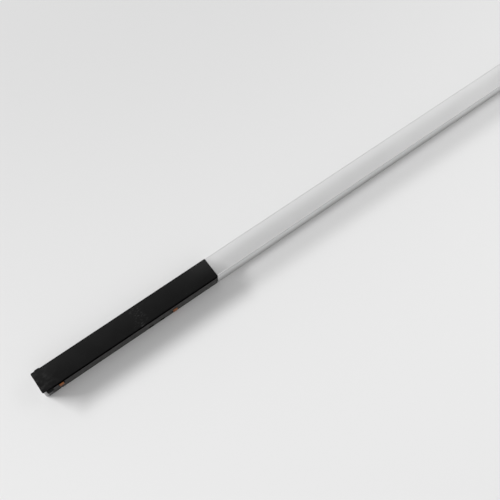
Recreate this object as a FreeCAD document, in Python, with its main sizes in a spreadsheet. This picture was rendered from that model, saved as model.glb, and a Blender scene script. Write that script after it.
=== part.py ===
import FreeCAD, Part
import os
import re
import Sketcher
from FreeCAD import Vector

# Linear light insert for a low-voltage lighting track: a black adapter box with a locking latch,
# sprung contacts and a driver, in line with a white light section of the same width and height.
#
# Row frame, millimetres: +X runs from the adapter's free end to the light's far end, +Y is left,
# +Z is up, out of the track, and the origin is the middle of the flat underside. Each function
# below measures x from the free end, and place() moves the piece into the row frame.

DIMENSIONS = {
    # whole lamp
    "width": 24.0,
    "height": 17.0,
    "adapter_length": 206.0,
    "light_length": 464.0,
    "floor": 1.2,
    "wall": 1.5,
    # adapter cover
    "cover_gap": 0.2,
    "cover_edge": 1.0,
    "cover_crown": 0.4,
    "cover_corner": 1.2,
    "cover_round": 0.35,
    "skirt_inset": 1.8,
    "skirt_thick": 1.0,
    "skirt_bottom": 12.5,
    "skirt_front_gap": 2.0,
    "skirt_rear_gap": 1.0,
    "boss_radius": 2.3,
    "boss_front": 30.5,
    "boss_rear": 165.5,
    "boss_side": 6.5,
    "hold_down_half": 9.5,
    "hold_down_inset": 0.5,
    # adapter housing
    "housing_start": 10.4,
    "housing_end": 205.6,
    "housing_top": 13.0,
    "housing_corner": 1.5,
    "notch_first": 120.0,
    "notch_pitch": 13.5,
    "notch_length": 5.5,
    "notch_sill": 0.5,
    "notch_top": 3.5,
    "notch_depth": 1.0,
    "outlet_half": 6.2,
    "outlet_top": 9.0,
    "mark_inset": 2.7,
    "mark_length": 1.4,
    "mark_height": 1.2,
    # latch
    "tab_start": 0.8,
    "tab_thick": 2.8,
    "tab_half": 11.6,
    "tab_bottom": 0.4,
    "tab_top": 12.0,
    "tab_round": 0.9,
    "grip_half": 6.0,
    "grip_first": 5.4,
    "grip_pitch": 1.8,
    "grip_width": 0.9,
    "grip_depth": 0.7,
    "block_start": 3.9,
    "block_end": 10.3,
    "block_top": 7.0,
    "tongue_start": 4.2,
    "cam_half": 7.6,
    "cam_bottom": 3.2,
    "cam_top": 4.4,
    "cam_end": 10.1,
    "pin_x": 6.0,
    "pin_y": 6.0,
    "pin_radius": 0.8,
    "cam_slot_radius": 0.86,
    "ear_start": 4.0,
    "ear_length": 6.0,
    "ear_bottom": 7.1,
    "ear_top": 12.6,
    "ear_inner": 2.6,
    "ear_reach": 2.3,
    "ear_travel": 2.4,
    "ear_bore": 1.7,
    "ear_bore_depth": 6.0,
    "ear_round": 1.1,
    "ear_coil": 1.25,
    "ear_wire": 0.25,
    "latch_screw_x": 7.2,
    "latch_screw_side": 8.75,
    "rib_slot_half": 10.9,
    "rib_half": 0.8,
    "rib_end": 8.4,
    "rib_bottom": 5.7,
    "rib_inset": 0.4,
    # sprung contacts
    "front_contact": 19.5,
    "rear_contact": 152.0,
    "upper_level": 9.8,
    "lower_level": 4.1,
    "shoe_length": 5.0,
    "shoe_height": 5.0,
    "shoe_reach": 1.0,
    "shoe_inner": 8.6,
    "shoe_flange": 0.7,
    "shoe_bore": 1.5,
    "shoe_bore_depth": 3.0,
    "shoe_round": 0.7,
    "window_play": 0.4,
    "stop_gap": 0.15,
    "window_gap": 1.2,
    "carrier_half": 6.5,
    "carrier_top": 12.4,
    "carrier_trough": 4.2,
    "carrier_floor": 2.6,
    "spring_slot_half": 0.8,
    "seat": 4.9,
    "plate_thick": 0.5,
    "contact_coil": 1.2,
    "coil_wire": 0.2,
    # driver
    "board_start": 36.0,
    "board_end": 140.0,
    "board_half": 9.2,
    "board_bottom": 3.2,
    "board_thick": 1.2,
    "post_inset": 4.0,
    "post_side": 7.0,
    "post_radius": 2.0,
    "film_start": 44.0,
    "film_length": 88.0,
    "film_width": 19.0,
    "film_thick": 0.3,
    "terminal_height": 8.0,
    "terminal_well": 3.0,
    "well_radius": 0.9,
    "input_start": 46.0,
    "input_length": 8.0,
    "input_half": 5.0,
    "output_start": 128.0,
    "output_length": 6.0,
    "output_half": 4.4,
    "bulk_start": 58.0,
    "bulk_length": 16.0,
    "bulk_radius": 4.4,
    "crimp_start": 1.4,
    "crimp_slope": 0.4,
    "crimp_depth": 0.5,
    "can_x": 115.0,
    "can_radius": 4.0,
    "can_height": 9.6,
    "choke_start": 77.0,
    "choke_size": 9.0,
    "choke_height": 7.0,
    "choke_flange": 1.6,
    "choke_waist": 5.6,
    "yoke_start": 89.0,
    "yoke_length": 18.0,
    "yoke_width": 10.0,
    "yoke_height": 9.0,
    "yoke_flange": 2.6,
    "yoke_leg": 3.0,
    "winding_width": 16.0,
    "transistor_x": 121.0,
    "transistor_length": 6.0,
    "transistor_width": 6.5,
    "transistor_height": 2.3,
    "chip_length": 5.0,
    "chip_width": 4.0,
    "chip_height": 1.5,
    "chip_side": 4.5,
    "resistor_length": 2.0,
    "resistor_width": 1.25,
    "resistor_height": 0.6,
    "wire_radius": 0.6,
    "wire_side": 3.0,
    "wire_lane": 7.0,
    "wire_roof": 12.0,
    "wire_drop": 3.0,
    "riser_start": 145.0,
    "riser_end": 142.0,
    "dive_start": 57.0,
    "lamp_wire_side": 1.4,
    "lamp_wire_bend": 160.0,
    "lamp_wire_low": 180.0,
    "port_half": 2.4,
    "port_low": 5.8,
    "port_high": 8.2,
    # coupling bar between adapter and light
    "bar_start": 176.0,
    "bar_end": 236.0,
    "bar_half": 6.0,
    "bar_thick": 2.0,
    "bar_screw_inset": 6.0,
    "bar_screw_pitch": 14.0,
    # light section
    "rim_top": 16.4,
    "rim": 1.3,
    "profile_round": 0.8,
    "rim_round": 0.5,
    "ledge": 1.3,
    "ledge_top": 12.0,
    "ledge_thick": 1.0,
    "diffuser_edge": 16.3,
    "diffuser_thick": 1.2,
    "diffuser_leg": 1.12,
    "diffuser_gap": 0.08,
    "cap_thick": 1.6,
    "cap_plug": 7.4,
    "cap_screw_inset": 5.5,
    "cap_screw_side": 6.0,
    "cap_chamfer": 0.3,
    "end_plate": 1.6,
    "led_board_start": 209.0,
    "led_board_end": 659.0,
    "led_board_half": 8.0,
    "led_board_thick": 1.0,
    "spreader_start": 240.0,
    "spreader_thick": 3.0,
    "led_first": 228.0,
    "led_pitch": 12.0,
    "led_length": 2.8,
    "led_width": 3.5,
    "led_thick": 0.7,
    "led_screw_first": 246.0,
    "led_screw_pitch": 96.0,
    "connector_start": 216.0,
    "connector_length": 7.0,
    "connector_half": 3.6,
    "connector_height": 4.0,
    "latch_depth": 1.2,
    "latch_length": 4.0,
    "latch_half": 1.6,
    # fasteners
    "small_shank": 0.8,
    "small_head": 1.6,
    "bar_shank": 1.45,
    "bar_head": 2.6,
    "pan_height": 0.9,
    "socket_depth": 0.6,
    "socket_share": 0.6,
    "cover_screw": 7.0,
    "latch_screw": 4.2,
    "board_screw": 2.9,
    "bar_screw": 3.1,
    "cap_screw": 6.0,
    "led_screw": 3.2,
    "thread_gap": 0.02,
    "hole_gap": 0.1,
    "bar_thread_gap": 0.05,
    # clearances, and how far one pad of a moulding reaches into the next
    "slack": 0.1,
    "play": 0.05,
    "bond": 0.5,
}
LED_COUNT = 36
LED_SCREW_COUNT = 5
EAR_SPRING_TURNS = 11
CONTACT_SPRING_TURNS = 6
GRIP_COUNT = 3
# Start and side of each chip resistor on the driver board.
RESISTORS = ((57, 7.5), (62, 7.5), (67, -7.5), (72, -7.5), (110, 7), (110, -7))

# Often-used positions, written once.
COVER_UNDERSIDE = "(height - cover_crown - cover_edge)"
BOARD_TOP = "(board_bottom + board_thick)"
LED_BOARD_BOTTOM = "(floor + spreader_thick)"
LED_BOARD_TOP = "(floor + spreader_thick + led_board_thick)"
LIGHT_END = "(adapter_length + light_length)"
BAR_SCREWS = (
    "bar_start + bar_screw_inset",
    "bar_start + bar_screw_inset + bar_screw_pitch",
    "bar_end - bar_screw_inset - bar_screw_pitch",
    "bar_end - bar_screw_inset",
)
CAP_SCREW_X = "(adapter_length + light_length - cap_screw_inset)"

doc = FreeCAD.newDocument("TrackLight")
sheet = doc.addObject("Spreadsheet::Sheet", "Dims")
subparts = []


def fill_sheet():
    for row, (alias, value) in enumerate(DIMENSIONS.items(), start=1):
        sheet.set(f"A{row}", alias)
        sheet.set(f"B{row}", str(value))
        sheet.setAlias(f"B{row}", alias)
    doc.recompute()


# ---- binding to the sheet ------------------------------------------------------------------


def formula(text):
    """The text as a document expression, with each dimension's name led by the sheet's name."""
    return re.sub(r"[a-z_]+", lambda m: "Dims." + m[0] if m[0] in DIMENSIONS else m[0], str(text))


def number(text):
    """The value that a formula has now."""
    return float(sheet.evalExpression(formula(text)))


def bind(item, **sizes):
    for name, text in sizes.items():
        item.setExpression(name, formula(text))


def place(item, x="0", y="0", z="0"):
    """Put a piece at x from the free end, y from the centre plane and z above the underside."""
    item.setExpression(".Placement.Base.x", formula(f"{x} - (adapter_length + light_length) / 2"))
    item.setExpression(".Placement.Base.y", formula(y))
    item.setExpression(".Placement.Base.z", formula(z))


def subpart(item, label):
    item.Label = label
    subparts.append(item)
    return item


# ---- PartDesign helpers --------------------------------------------------------------------


def new_body(label, **position):
    body = doc.addObject("PartDesign::Body", label)
    place(body, **position)
    return subpart(body, label)


def new_sketch(body, role, level="0"):
    """A sketch on one of the body's own origin planes, moved along its normal by level."""
    plane = next(item for item in body.Origin.OriginFeatures if item.Role == role)
    sketch = body.newObject("Sketcher::SketchObject", body.Name + "_sketch")
    sketch.AttachmentSupport = [(plane, "")]
    sketch.MapMode = "FlatFace"
    sketch.setExpression(".AttachmentOffset.Base.z", formula(level))
    return sketch


def hold_point(sketch, geometry, point, across, along):
    """Bind one point of a sketch to two formulas."""
    for kind, text in (("DistanceX", across), ("DistanceY", along)):
        index = sketch.addConstraint(Sketcher.Constraint(kind, -1, 1, geometry, point, number(text)))
        sketch.setExpression(f"Constraints[{index}]", formula(text))


def add_outline(sketch, corners, crown=None):
    """A closed outline through the corners. With a crown, its last side is an arc through it."""
    points = [Vector(number(a), number(b), 0) for a, b in corners]
    sides = []
    for start, end in zip(points, points[1:] + points[:1]):
        sides.append(sketch.addGeometry(Part.LineSegment(start, end), False))
    if crown:
        sketch.delGeometry(sides[-1])
        top = Vector(number(crown[0]), number(crown[1]), 0)
        arc = Part.Arc(points[-1], top, points[0])
        sides[-1] = sketch.addGeometry(arc, False)
        apex = sketch.addGeometry(Part.Point(top), True)
        hold_point(sketch, apex, 1, *crown)
        sketch.addConstraint(Sketcher.Constraint("PointOnObject", apex, 1, sides[-1]))
        near = sketch.getPoint(sides[-1], 1).distanceToPoint(points[-1]) < 1e-6
        arc_start, arc_end = (1, 2) if near else (2, 1)
        sketch.addConstraint(Sketcher.Constraint("Coincident", sides[-2], 2, sides[-1], arc_start))
        sketch.addConstraint(Sketcher.Constraint("Coincident", sides[-1], arc_end, sides[0], 1))
        joined = sides[:-2]
    else:
        sketch.addConstraint(Sketcher.Constraint("Coincident", sides[-1], 2, sides[0], 1))
        joined = sides[:-1]
    for side, after in zip(joined, sides[1:]):
        sketch.addConstraint(Sketcher.Constraint("Coincident", side, 2, after, 1))
    straight = sides[:-1] if crown else sides
    for side, corner in zip(straight, corners):
        hold_point(sketch, side, 1, *corner)
    if crown:
        hold_point(sketch, sides[-2], 2, *corners[-1])


def add_rectangle(sketch, a_low, a_high, b_low, b_high):
    add_outline(sketch, [(a_low, b_low), (a_high, b_low), (a_high, b_high), (a_low, b_high)])


def add_circle(sketch, across, along, radius):
    centre = Vector(number(across), number(along), 0)
    circle = sketch.addGeometry(Part.Circle(centre, Vector(0, 0, 1), number(radius)), False)
    hold_point(sketch, circle, 3, across, along)
    index = sketch.addConstraint(Sketcher.Constraint("Radius", circle, number(radius)))
    sketch.setExpression(f"Constraints[{index}]", formula(radius))


def pad(body, sketch, length, down=False):
    feature = body.newObject("PartDesign::Pad", body.Name + "_pad")
    feature.Profile = sketch
    feature.Reversed = down
    bind(feature, Length=length)
    return feature


def pocket(body, sketch, depth, onward=False, both_ways=False):
    """Cut against the sketch's normal, or with it when onward, or evenly to both sides."""
    feature = body.newObject("PartDesign::Pocket", body.Name + "_pocket")
    feature.Profile = sketch
    feature.Reversed = onward
    if both_ways:
        feature.SideType = "Symmetric"
    bind(feature, Length=depth)
    return feature


def box_pad(body, x_low, x_high, y_low, y_high, z_low, z_high):
    sketch = new_sketch(body, "XY_Plane", z_low)
    add_rectangle(sketch, x_low, x_high, y_low, y_high)
    return pad(body, sketch, f"({z_high}) - ({z_low})")


def box_pocket(body, x_low, x_high, y_low, y_high, z_low, z_high):
    sketch = new_sketch(body, "XY_Plane", z_high)
    add_rectangle(sketch, x_low, x_high, y_low, y_high)
    return pocket(body, sketch, f"({z_high}) - ({z_low})")


def round_pocket(body, centres, radius, z_low, z_high):
    sketch = new_sketch(body, "XY_Plane", z_high)
    for x, y in centres:
        add_circle(sketch, x, y, radius)
    return pocket(body, sketch, f"({z_high}) - ({z_low})")


def dress_edges(body, kind, size, wanted):
    """Fillet or chamfer the edges of the body's last feature that wanted() picks."""
    doc.recompute()
    base = body.Tip
    names = [f"Edge{i}" for i, edge in enumerate(base.Shape.Edges, start=1) if wanted(edge)]
    feature = body.newObject("PartDesign::" + kind, body.Name + "_" + kind.lower())
    feature.Base = (base, names)
    bind(feature, **{"Radius" if kind == "Fillet" else "Size": size})
    return feature


def upright(edge, x, tolerance=0.01):
    """True for a vertical edge at this x."""
    box = edge.BoundBox
    return box.XLength < tolerance and box.YLength < tolerance and abs(box.XMin - x) < tolerance


def ring_at(edge, z, radius):
    """True for a full circle of this radius at this height."""
    curve = edge.Curve
    if not isinstance(curve, Part.Circle):
        return False
    return abs(curve.Center.z - z) < 1e-3 and abs(curve.Radius - radius) < 1e-3


def both_sides(x, y):
    return [(x, y), (x, f"-({y})")]


def countersink(body, shank, head):
    """Chamfer every clearance hole of this shank where it opens in the underside."""
    radius = number(f"{shank} + hole_gap")
    wanted = lambda edge: ring_at(edge, 0, radius)
    dress_edges(body, "Chamfer", f"{head} - {shank}", wanted)


# ---- Part helpers --------------------------------------------------------------------------


def block(label, x, y, z, length, width, height):
    """A box that starts at x and z and is centred on y."""
    item = doc.addObject("Part::Box", label)
    bind(item, Length=length, Width=width, Height=height)
    place(item, x, f"({y}) - ({width}) / 2", z)
    return item


def rod(label, x, y, z, radius, length):
    """An upright cylinder that starts at z."""
    item = doc.addObject("Part::Cylinder", label)
    bind(item, Radius=radius, Height=length)
    place(item, x, y, z)
    return item


def cut(label, base, tools):
    for tool in tools:
        item = doc.addObject("Part::Cut", label + "_cut")
        item.Base = base
        item.Tool = tool
        base = item
    return base


def fuse(label, items):
    item = doc.addObject("Part::MultiFuse", label)
    item.Shapes = items
    return item


def group(label, items):
    item = doc.addObject("Part::Compound", label)
    item.Links = items
    return subpart(item, label)


def countersunk_screw(label, x, y, shank, head, length):
    """A flat-head screw driven up from the underside, with a hexagon socket."""
    cone = doc.addObject("Part::Cone", label + "_head")
    bind(cone, Radius1=head, Radius2=shank, Height=f"{head} - {shank}")
    place(cone, x, y, "0")
    shaft = rod(label + "_shaft", x, y, "slack", shank, f"{length} - slack")
    socket = doc.addObject("Part::Prism", label + "_socket")
    socket.Polygon = 6
    bind(socket, Circumradius=f"{shank} * socket_share", Height="socket_depth")
    place(socket, x, y, "0")
    return cut(label, fuse(label + "_blank", [cone, shaft]), [socket])


def screw_row(label, centres, shank, head, length):
    screws = []
    for index, (x, y) in enumerate(centres):
        screws.append(countersunk_screw(f"{label}_{index}", x, y, shank, head, length))
    return group(label, screws)


def pan_screw(label, x, y, z, shank, head, depth):
    """A pan-head screw driven down, its head sitting at height z."""
    top = rod(label + "_head", x, y, z, head, "pan_height")
    shaft = rod(label + "_shaft", x, y, f"{z} - ({depth})", shank, f"{depth} + slack")
    socket = doc.addObject("Part::Prism", label + "_socket")
    socket.Polygon = 6
    bind(socket, Circumradius=f"{shank} * socket_share", Height="socket_depth")
    place(socket, x, y, f"{z} + pan_height - socket_depth + slack")
    return cut(label, fuse(label + "_blank", [top, shaft]), [socket])


# ---- adapter shell -------------------------------------------------------------------------


def adapter_cover():
    """Slightly crowned top plate with skirts that plug into the housing and four screw bosses."""
    body = new_body("adapter_cover")
    sketch = new_sketch(body, "YZ_Plane")
    edge_top = "height - cover_crown"
    corners = [
        ("-width / 2", edge_top),
        ("-width / 2", COVER_UNDERSIDE),
        ("width / 2", COVER_UNDERSIDE),
        ("width / 2", edge_top),
    ]
    add_outline(sketch, corners, crown=("0", "height"))
    pad(body, sketch, "adapter_length - cover_gap")
    dress_edges(body, "Fillet", "cover_corner", lambda edge: upright(edge, 0))
    top = number(edge_top)
    rim = number("width / 2")
    outer = lambda edge: edge.BoundBox.ZMin > top - 0.01 and (
        abs(abs(edge.BoundBox.YMin) - rim) < 0.01 and edge.BoundBox.YLength < 0.01
    )
    dress_edges(body, "Fillet", "cover_round", outer)
    skirts = new_sketch(body, "XY_Plane", COVER_UNDERSIDE)
    outside = "width / 2 - skirt_inset"
    inside = "width / 2 - skirt_inset - skirt_thick"
    ends = ("housing_start + wall + skirt_front_gap", "housing_end - wall - skirt_rear_gap")
    for low, high in ((inside, outside), (f"-({outside})", f"-({inside})")):
        add_rectangle(skirts, *ends, low, high)
    pad(body, skirts, f"{COVER_UNDERSIDE} - skirt_bottom", down=True)
    hold_down = new_sketch(body, "XY_Plane", COVER_UNDERSIDE)
    inset = "hold_down_inset"
    pad_ends = (f"ear_start + {inset}", f"ear_start + ear_length - {inset}")
    add_rectangle(hold_down, *pad_ends, "-hold_down_half", "hold_down_half")
    pad(body, hold_down, f"{COVER_UNDERSIDE} - ear_top - slack", down=True)
    bosses = new_sketch(body, "XY_Plane", COVER_UNDERSIDE)
    centres = both_sides("boss_front", "boss_side") + both_sides("boss_rear", "boss_side")
    for x, y in centres:
        add_circle(bosses, x, y, "boss_radius")
    pad(body, bosses, f"{COVER_UNDERSIDE} - floor", down=True)
    round_pocket(body, centres, "small_shank + thread_gap", "floor", "floor + cover_screw")


def adapter_housing():
    """Tray of the adapter: floor, side walls with contact windows, end walls and board posts."""
    body = new_body("adapter_housing")
    box_pad(body, "housing_start", "housing_end", "-width / 2", "width / 2", "0", "housing_top")
    box_pocket(
        body,
        "housing_start + wall",
        "housing_end - wall",
        "wall - width / 2",
        "width / 2 - wall",
        "floor",
        "housing_top",
    )
    end = number("housing_end")
    rim = number("width / 2")
    outer = lambda edge: upright(edge, end) and abs(abs(edge.BoundBox.YMin) - rim) < 0.01
    dress_edges(body, "Fillet", "housing_corner", outer)
    box_pad(
        body,
        "tongue_start",
        "housing_start + bond",
        "wall - width / 2",
        "width / 2 - wall",
        "0",
        "floor",
    )
    posts = new_sketch(body, "XY_Plane", "floor")
    post_centres = both_sides("board_start + post_inset", "post_side")
    post_centres += both_sides("board_end - post_inset", "post_side")
    for x, y in post_centres:
        add_circle(posts, x, y, "post_radius")
    pad(body, posts, "board_bottom - floor")
    round_pocket(body, post_centres, "small_shank + thread_gap", "floor", "board_bottom")
    cut_windows(body)
    cut_notches(body)
    outlet = new_sketch(body, "YZ_Plane", "housing_end")
    add_rectangle(outlet, "-outlet_half", "outlet_half", "floor", "outlet_top")
    pocket(body, outlet, "wall + slack")
    small_holes = both_sides("boss_front", "boss_side") + both_sides("boss_rear", "boss_side")
    small_holes += both_sides("latch_screw_x", "latch_screw_side")
    round_pocket(body, small_holes, "small_shank + hole_gap", "0", "floor")
    countersink(body, "small_shank", "small_head")
    bar_holes = [(x, "0") for x in BAR_SCREWS[:2]]
    round_pocket(body, bar_holes, "bar_shank + hole_gap", "0", "floor")
    countersink(body, "bar_shank", "bar_head")


def cut_windows(body):
    """One window through both side walls at each pair of contacts, longer on the inner side."""
    half = "(shoe_length / 2 + window_play)"
    long_half = "(shoe_length / 2 + window_gap)"
    tall = "(shoe_height / 2 + slack)"
    windows = new_sketch(body, "XZ_Plane")
    add_rectangle(
        windows,
        f"front_contact - {half}",
        f"front_contact + {long_half}",
        f"upper_level - {tall}",
        f"upper_level + {tall}",
    )
    add_rectangle(
        windows,
        f"rear_contact - {long_half}",
        f"rear_contact + {half}",
        f"lower_level - {tall}",
        f"lower_level + {tall}",
    )
    pocket(body, windows, "width + 2", both_ways=True)


def cut_notches(body):
    """Blind release slots just above the lower edge of each side wall, and a small mark."""
    for level, onward in (("width / 2", False), ("-width / 2", True)):
        notches = new_sketch(body, "XZ_Plane", level)
        for step in (0, 1):
            start = f"notch_first + {step} * notch_pitch"
            add_rectangle(notches, start, f"{start} + notch_length", "notch_sill", "notch_top")
        mark = "front_contact - mark_inset"
        add_rectangle(notches, mark, f"{mark} + mark_length", "0", "mark_height")
        pocket(body, notches, "notch_depth", onward=onward)


# ---- latch at the free end -----------------------------------------------------------------


def latch_block():
    """Block behind the tab: guides the cam plate below and the two ears on top."""
    body = new_body("latch_block")
    box_pad(body, "block_start", "block_end", "-width / 2", "width / 2", "0", "block_top")
    gap = "slack"
    box_pocket(
        body,
        "block_start",
        "block_end",
        f"wall - width / 2 - {gap} / 2",
        f"width / 2 - wall + {gap} / 2",
        "0",
        "floor",
    )
    channel = new_sketch(body, "YZ_Plane", "block_end")
    reach = f"cam_half + {gap}"
    add_rectangle(channel, f"-({reach})", reach, f"cam_bottom - {gap}", f"cam_top + {gap}")
    pocket(body, channel, "block_end - block_start")
    low = f"pin_x - rib_half - {gap}"
    high = f"pin_x + rib_half + {gap}"
    rib_slot = ("-rib_slot_half", "rib_slot_half")
    box_pocket(body, low, high, *rib_slot, f"rib_bottom - {gap}", "block_top")
    pin_gap = f"(pin_radius + {gap})"
    for side in (1, -1):
        inner = f"{side} * (pin_y - ear_travel - {pin_gap})"
        outer = f"{side} * (pin_y + {pin_gap})"
        low_y, high_y = (inner, outer) if side > 0 else (outer, inner)
        slot_low = f"pin_x - {pin_gap}"
        slot_high = f"pin_x + {pin_gap}"
        box_pocket(body, slot_low, slot_high, low_y, high_y, "cam_top", f"rib_bottom - {gap}")
    screws = both_sides("latch_screw_x", "latch_screw_side")
    round_pocket(body, screws, "small_shank + thread_gap", "floor", "latch_screw + 4 * slack")


def release_tab():
    """Grey pull tab across the free end, with a cam plate whose two slots draw the ears in."""
    body = new_body("release_tab")
    back = "tab_start + tab_thick"
    box_pad(body, "tab_start", back, "-tab_half", "tab_half", "tab_bottom", "tab_top")
    front = number("tab_start")
    dress_edges(body, "Fillet", "tab_round", lambda edge: upright(edge, front))
    overlap = f"{back} - bond"
    box_pad(body, overlap, "cam_end", "-cam_half", "cam_half", "cam_bottom", "cam_top")
    grip = new_sketch(body, "YZ_Plane", "tab_start")
    for step in range(GRIP_COUNT):
        low = f"grip_first + {step} * grip_pitch"
        add_rectangle(grip, "-grip_half", "grip_half", low, f"{low} + grip_width")
    pocket(body, grip, "grip_depth", onward=True)
    offset = "cam_slot_radius * sqrt(0.5)"
    slots = new_sketch(body, "XY_Plane", "cam_top")
    ends = new_sketch(body, "XY_Plane", "cam_top")
    for side in (1, -1):
        far_x = "pin_x + ear_travel"
        near_y = f"{side} * pin_y"
        far_y = f"{side} * (pin_y - ear_travel)"
        lift = f"{side} * {offset}"
        corners = [
            (f"pin_x - {offset}", f"{near_y} - {lift}"),
            (f"{far_x} - {offset}", f"{far_y} - {lift}"),
            (f"{far_x} + {offset}", f"{far_y} + {lift}"),
            (f"pin_x + {offset}", f"{near_y} + {lift}"),
        ]
        add_outline(slots, corners)
        add_circle(ends, "pin_x", near_y, "cam_slot_radius")
        add_circle(ends, far_x, far_y, "cam_slot_radius")
    pocket(body, slots, "cam_top - cam_bottom")
    pocket(body, ends, "cam_top - cam_bottom")


def locking_ear(label, side):
    """Ear that stands out past the cover's edge; its rib runs in the block, its pin in the cam."""
    body = new_body(label)
    ear_end = "ear_start + ear_length"
    inner = f"{side} * ear_inner"
    outer = f"{side} * (width / 2 + ear_reach)"
    low_y, high_y = (inner, outer) if side > 0 else (outer, inner)
    box_pad(body, "ear_start", ear_end, low_y, high_y, "ear_bottom", "ear_top")
    tip = abs(number(outer))
    outer_edges = lambda edge: (
        abs(abs(edge.CenterOfMass.y) - tip) < 0.01 and edge.BoundBox.XLength < 0.01
    )
    dress_edges(body, "Fillet", "ear_round", outer_edges)
    inner_rib = f"{side} * (ear_inner + rib_inset)"
    outer_rib = f"{side} * rib_end"
    low_y, high_y = (inner_rib, outer_rib) if side > 0 else (outer_rib, inner_rib)
    rib_low = "pin_x - rib_half"
    rib_high = "pin_x + rib_half"
    box_pad(body, rib_low, rib_high, low_y, high_y, "rib_bottom", "ear_bottom + bond")
    pin = new_sketch(body, "XY_Plane", "cam_bottom")
    add_circle(pin, "pin_x", f"{side} * pin_y", "pin_radius")
    pad(body, pin, "rib_bottom - cam_bottom + bond")
    level = f"{-side} * ear_inner"
    bore = new_sketch(body, "XZ_Plane", level)
    add_circle(bore, "ear_start + ear_length / 2", "(ear_bottom + ear_top) / 2", "ear_bore")
    pocket(body, bore, "ear_bore_depth", onward=side < 0)


def coil_spring(label, x, y, z, coil, wire, length, turns):
    """A compression spring along +Y from y, as a round wire on a helix."""
    body = new_body(label, x=x, y=y, z=z)
    sketch = new_sketch(body, "XY_Plane")
    add_circle(sketch, coil, wire, wire)
    helix = body.newObject("PartDesign::AdditiveHelix", label + "_helix")
    helix.Profile = sketch
    helix.ReferenceAxis = (sketch, ["V_Axis"])
    helix.Mode = "pitch-height-angle"
    bind(helix, Height=f"{length} - 2 * {wire}", Pitch=f"({length} - 2 * {wire}) / {turns}")
    return body


def ear_spring():
    inner_end = "(ear_inner + ear_bore_depth - slack)"
    middle = "ear_start + ear_length / 2"
    level = "(ear_bottom + ear_top) / 2"
    sizes = ("ear_coil", "ear_wire", f"2 * {inner_end}")
    coil_spring("ear_spring", middle, f"-{inner_end}", level, *sizes, EAR_SPRING_TURNS)


# ---- sprung contacts -----------------------------------------------------------------------


def contact_shoe(label, x, level, side):
    """Copper shoe: a pad that stands out of the window and a flange that keeps it in."""
    body = new_body(label, x=x, z=level)
    tip = "width / 2 + shoe_reach"
    stop = "width / 2 - wall - stop_gap"
    half = "shoe_length / 2"
    flange = "shoe_length / 2 + shoe_flange"
    tall = "shoe_height / 2"
    spans = (("shoe_inner", stop, flange), (f"{stop} - bond", tip, half))
    for near, far, reach in spans:
        low_y, high_y = (near, far) if side > 0 else (f"-({far})", f"-({near})")
        box_pad(body, f"-({reach})", reach, low_y, high_y, f"-({tall})", tall)
    edge_y = number(tip)
    lead_in = lambda edge: (
        abs(abs(edge.CenterOfMass.y) - edge_y) < 0.01 and edge.BoundBox.YLength < 0.01
    )
    dress_edges(body, "Fillet", "shoe_round", lead_in)
    bore = new_sketch(body, "XZ_Plane", f"{-side} * shoe_inner")
    add_circle(bore, "0", "0", "shoe_bore")
    pocket(body, bore, "shoe_bore_depth", onward=side < 0)


def contact_spring(label, x, level, side):
    start = "seat + plate_thick + play"
    length = f"shoe_inner + shoe_bore_depth - play - ({start})"
    y = start if side > 0 else f"-({start}) - ({length})"
    sizes = ("contact_coil", "coil_wire", f"({length})")
    coil_spring(label, x, y, level, *sizes, CONTACT_SPRING_TURNS)


def contact_carrier(label, x, level, open_top):
    """Insulating block between the side walls, with a pocket for each shoe and a wire trough."""
    body = new_body(label, x=x)
    side_face = "width / 2 - wall - slack"
    half = "carrier_half"
    box_pad(body, f"-{half}", half, f"-({side_face})", side_face, "floor", "carrier_top")
    pocket_half = "shoe_length / 2 + shoe_flange + slack"
    tall = "(shoe_height / 2 + slack)"
    slot_half = "spring_slot_half"
    if open_top:
        low_z, high_z = f"{level} - {tall}", "carrier_top"
    else:
        low_z, high_z = "floor", f"{level} + {tall}"
    for side in (1, -1):
        near = f"{side} * seat"
        far = f"{side} * ({side_face})"
        low_y, high_y = (near, far) if side > 0 else (far, near)
        box_pocket(body, f"-({pocket_half})", pocket_half, low_y, high_y, low_z, high_z)
        centre = f"{side} * carrier_trough"
        low_y, high_y = (centre, near) if side > 0 else (near, centre)
        box_pocket(body, f"-{slot_half}", slot_half, low_y, high_y, low_z, high_z)
    trough = ("-carrier_trough", "carrier_trough", "carrier_floor", "carrier_top")
    box_pocket(body, f"-{half}", half, *trough)


def contact_plates(label, x, level):
    """Brass plate behind each spring, where the supply wire is soldered."""
    plates = []
    for side in (1, -1):
        y = f"{side} * (seat + plate_thick / 2)"
        z = f"{level} - shoe_height / 2"
        name = f"{label}_{'left' if side > 0 else 'right'}"
        start = f"{x} - shoe_length / 2"
        plates.append(block(name, start, y, z, "shoe_length", "plate_thick", "shoe_height"))
    return group(label, plates)


# ---- driver --------------------------------------------------------------------------------


def driver_board():
    body = new_body("driver_board")
    top = BOARD_TOP
    box_pad(body, "board_start", "board_end", "-board_half", "board_half", "board_bottom", top)
    holes = both_sides("board_start + post_inset", "post_side")
    holes += both_sides("board_end - post_inset", "post_side")
    round_pocket(body, holes, "small_shank + hole_gap", "board_bottom", top)


def board_screws():
    screws = []
    ends = ("board_start + post_inset", "board_end - post_inset")
    for x in ends:
        for y in ("post_side", "-post_side"):
            name = f"board_screw_{len(screws)}"
            sizes = ("small_shank", "small_head", "board_screw")
            screws.append(pan_screw(name, x, y, BOARD_TOP, *sizes))
    group("board_screws", screws)


def terminal_block(label, x, length, half, ways):
    """Wire terminal: a moulded block with a clamping screw well for each wire."""
    body = new_body(label, x=x, z=BOARD_TOP)
    box_pad(body, "0", length, f"-{half}", half, "0", "terminal_height")
    wells = new_sketch(body, "XY_Plane", "terminal_height")
    for way in range(ways):
        y = f"{2 * way + 1} * {half} / {ways} - {half}"
        add_circle(wells, f"{length} / 2", y, "well_radius")
    pocket(body, wells, "terminal_well")


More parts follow.
